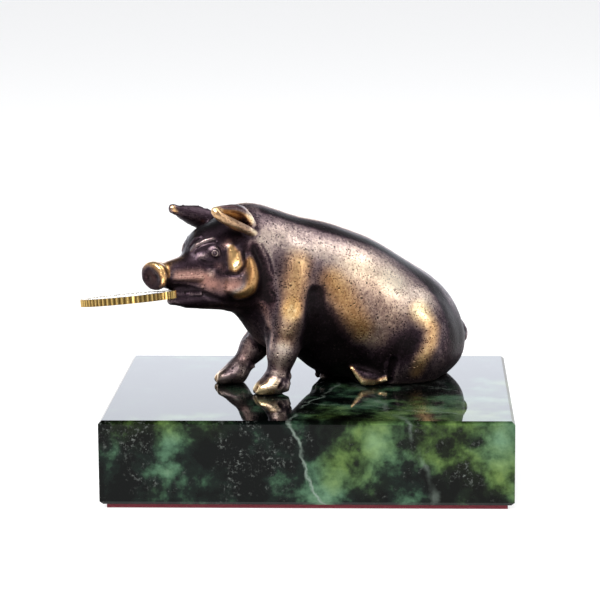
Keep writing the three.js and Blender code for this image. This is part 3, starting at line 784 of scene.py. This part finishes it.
def wear_and_painted_light_of(clay):
    """Shares from 0 to 1: rubbed metal together with painted highlights and painted shade, golden tone, coppery tone,
    and cast grain.
    """
    fine = clay.smoothed(clay.points, 3)
    broad = clay.smoothed(clay.points, 40)
    ridge = ((clay.points - fine) * clay.normals).sum(1) / 0.03
    swell = ((clay.points - broad) * clay.normals).sum(1) / 0.5
    on_head = np.clip((clay.places(head_frame)[:, 0] + 5) / 4, 0, 1)
    rub_and_painted_light = 0.3 - 0.12 * on_head + 0.16 * np.clip(ridge, -1, 1) + 0.2 * np.clip(swell, -1.2, 1.2)
    tone = np.zeros(len(rub_and_painted_light))
    for zones, place in ((BODY_WEAR_AND_PAINTED_LIGHT, None), (HEAD_WEAR_AND_PAINTED_LIGHT, head_frame)):
        points = clay.places(place)
        for path, amount, hue in zones:
            near = touch(points, path)
            rub_and_painted_light += amount * near
            tone += hue * near
    inverse = np.linalg.inv(np.array(head_frame))
    in_head = clay.points @ inverse[:3, :3].T + inverse[:3, 3]
    turned = clay.normals @ np.array(head_frame)[:3, :3]
    for ear in EARS:
        facing = np.array(ear_place(ear, 0, 0)[1])
        spine = [(*ear_place(ear, x, 0)[0], r) for x, r in ((-0.5, 3.8), (0.2, 3.4), (0.9, 2.2))]
        leaf = touch(in_head, spine)
        inner = np.clip(turned @ facing * 2, 0, 1) * np.clip(leaf * 3, 0, 1)
        rub_and_painted_light += 0.5 * inner
        tone += inner
    lower_rim = touch(in_head, [(*p[:3], r) for p, r in zip(NEAR_EAR_RIM[0], NEAR_EAR_EDGE_RADII)])
    upper_rim = touch(in_head, [(x, y - 0.5, z + 0.5, 1.9) for x, y, z, _ in NEAR_EAR_RIM[1][1:]])
    upper_rim *= 1 - lower_rim
    far_edge = touch(in_head, FAR_EAR_EDGE)
    face = touch(in_head, DISC_FACE)
    lip = touch(in_head, ring(DISC, 3.7, 1.5, DISC_FACING))
    lip *= np.clip((in_head - DISC) @ (0, 0.32, 0.26) + 0.4, 0, 1)
    lids = touch(in_head, ring(EYE, 1.75, 1.1, EYE_FACING))
    lids = np.maximum(lids, touch(in_head, ring(EYE, 0.78, 0.6, EYE_FACING)))
    rub_and_painted_light += 0.52 * lower_rim - 0.12 * upper_rim + 0.6 * far_edge - 0.08 * face + 0.4 * lip + 0.35 * lids
    tone += lower_rim - 1.4 * upper_rim + far_edge - 1.4 * face + lip
    grain = 1 - 0.55 * on_head
    return {"rub_and_painted_light": np.clip(rub_and_painted_light, 0, 1), "gold": np.clip(tone, 0, 1), "copper": np.clip(-tone, 0, 1), "grain": grain}


# How the pig is made: skin, smoothing rounds, settling on the slab, and the boxes of the head that get more points
SKIN_CELL = 0.465
SKIN_ROUNDS = 10
CHEEK_ROUNDS = 60
FORM_ROUNDS = 3
SOLE_DROP = 0.32
SOLE_HEIGHT = 2
CHEEK = ((8, 4, -8.4, 5), (3, 6.5, -8.4, 6.5), (-1, 8.5, -8.4, 5))
HEAD_BOX = ((-2.5, -12, -13), (24, 12, 13))
EYE_BOX = ((3.8, 1.5, -3.4), (11, 9.5, 4.2))


def lay(bm, place, lengths):
    """Rounded lengths of clay through points with radii, in a frame's millimetres."""
    for path in lengths:
        beads = [path[0]]
        for a, b in zip(path[:-1], path[1:]):
            gap = math.dist(a[:3], b[:3])
            count = max(1, math.ceil(gap / (0.3 * min(a[3], b[3]))))
            beads += [[p + (q - p) * i / count for p, q in zip(a, b)] for i in range(1, count + 1)]
        for x, y, z, radius in beads:
            spot = place @ Matrix.Translation((x, y, z))
            bmesh.ops.create_icosphere(bm, subdivisions=2, radius=radius, matrix=spot)


def make_pig():
    pig = copy_of(nodes["pig"], "cast_pig")
    bm = bmesh.new()
    bm.from_mesh(pig.data)
    lay(bm, pig_frame, NEAR_FORE_CLAWS + FAR_FORE_CLAWS + HIND_CLAWS + TAIL)
    lay(bm, pig_frame @ head_frame, NEAR_EAR_RIM + FAR_EAR_RIM)
    bm.to_mesh(pig.data)
    bm.free()
    skin = pig.modifiers.new("skin", "REMESH")
    skin.mode = "VOXEL"
    skin.voxel_size = SKIN_CELL * MM
    applied(pig)
    clay = Clay(pig.data, pig_frame)
    clay.smooth(SKIN_ROUNDS)
    clay.smooth(CHEEK_ROUNDS, np.clip(2 * touch(clay.places(head_frame), CHEEK), 0, 1))
    risen = np.clip(clay.points[:, 2] / SOLE_HEIGHT, 0, 1)
    clay.points[:, 2] -= SOLE_DROP * (1 - risen) ** 2
    work_forms(clay)
    clay.smooth(FORM_ROUNDS)
    refine(pig.data, pig_frame @ head_frame, *HEAD_BOX)
    refine(pig.data, pig_frame @ head_frame, *EYE_BOX)
    clay = Clay(pig.data, pig_frame)
    work_lines(clay)
    for name, values in wear_and_painted_light_of(clay).items():
        paint(pig.data, name, values)
    for face in pig.data.polygons:
        face.use_smooth = True
    pig.data.materials.clear()
    pig.data.materials.append(bronze)
    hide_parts("pig")
    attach(pig, "root")


def paint(mesh, name, values):
    layer = mesh.attributes.new(name, "FLOAT", "POINT")
    layer.data.foreach_set("value", np.asarray(values, np.float32))


make_pig()


# Coin, slab and felt


COIN_RADIUS = 11.75
COIN_HALF = 0.9
REED_DEPTH = 0.25
BEADS = 56
BEAD_RADIUS = 0.28
BEAD_CIRCLE_RADIUS = 9.8
MOUTH_PLACE = (21, 0, -8.5)
MOUTH_TURNS = {"Y": -4, "X": 1.3}
COIN_REACH = 7.75

coin_frame = pig_frame @ head_frame @ Matrix.Translation(MOUTH_PLACE)
for axis, degrees in MOUTH_TURNS.items():
    coin_frame = coin_frame @ Matrix.Rotation(math.radians(degrees), 4, axis)
coin_frame = coin_frame @ Matrix.Translation((COIN_REACH, 0, 0))


def make_coin():
    """The coin with a circle of beads inside each rim."""
    coin = copy_of(nodes["coin"], "struck_coin")
    bm = bmesh.new()
    bm.from_mesh(coin.data)
    for side in (-1, 1):
        for turn in range(BEADS):
            angle = 2 * math.pi * turn / BEADS
            x = BEAD_CIRCLE_RADIUS * math.cos(angle)
            y = BEAD_CIRCLE_RADIUS * math.sin(angle)
            lay(bm, coin_frame, [[(x, y, side * (COIN_HALF - 0.25), BEAD_RADIUS)]])
    bm.to_mesh(coin.data)
    bm.free()
    inverse = coin_frame.inverted()
    places = np.array([inverse @ v.co for v in coin.data.vertices])
    radius = np.hypot(places[:, 0], places[:, 1])
    paint(coin.data, "groove", np.clip((COIN_RADIUS - radius) / REED_DEPTH, 0, 1))
    paint(coin.data, "flat", (radius < COIN_RADIUS - 2 * REED_DEPTH).astype(float))
    coin.data.materials.clear()
    coin.data.materials.append(brass)
    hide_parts("coin")
    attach(coin, "root")


make_coin()


def dress(node, material):
    node.data.materials.clear()
    node.data.materials.append(material)


dress(nodes["plinth"], stone)
dress(nodes["felt_pad"], felt)

bpy.context.view_layer.update()
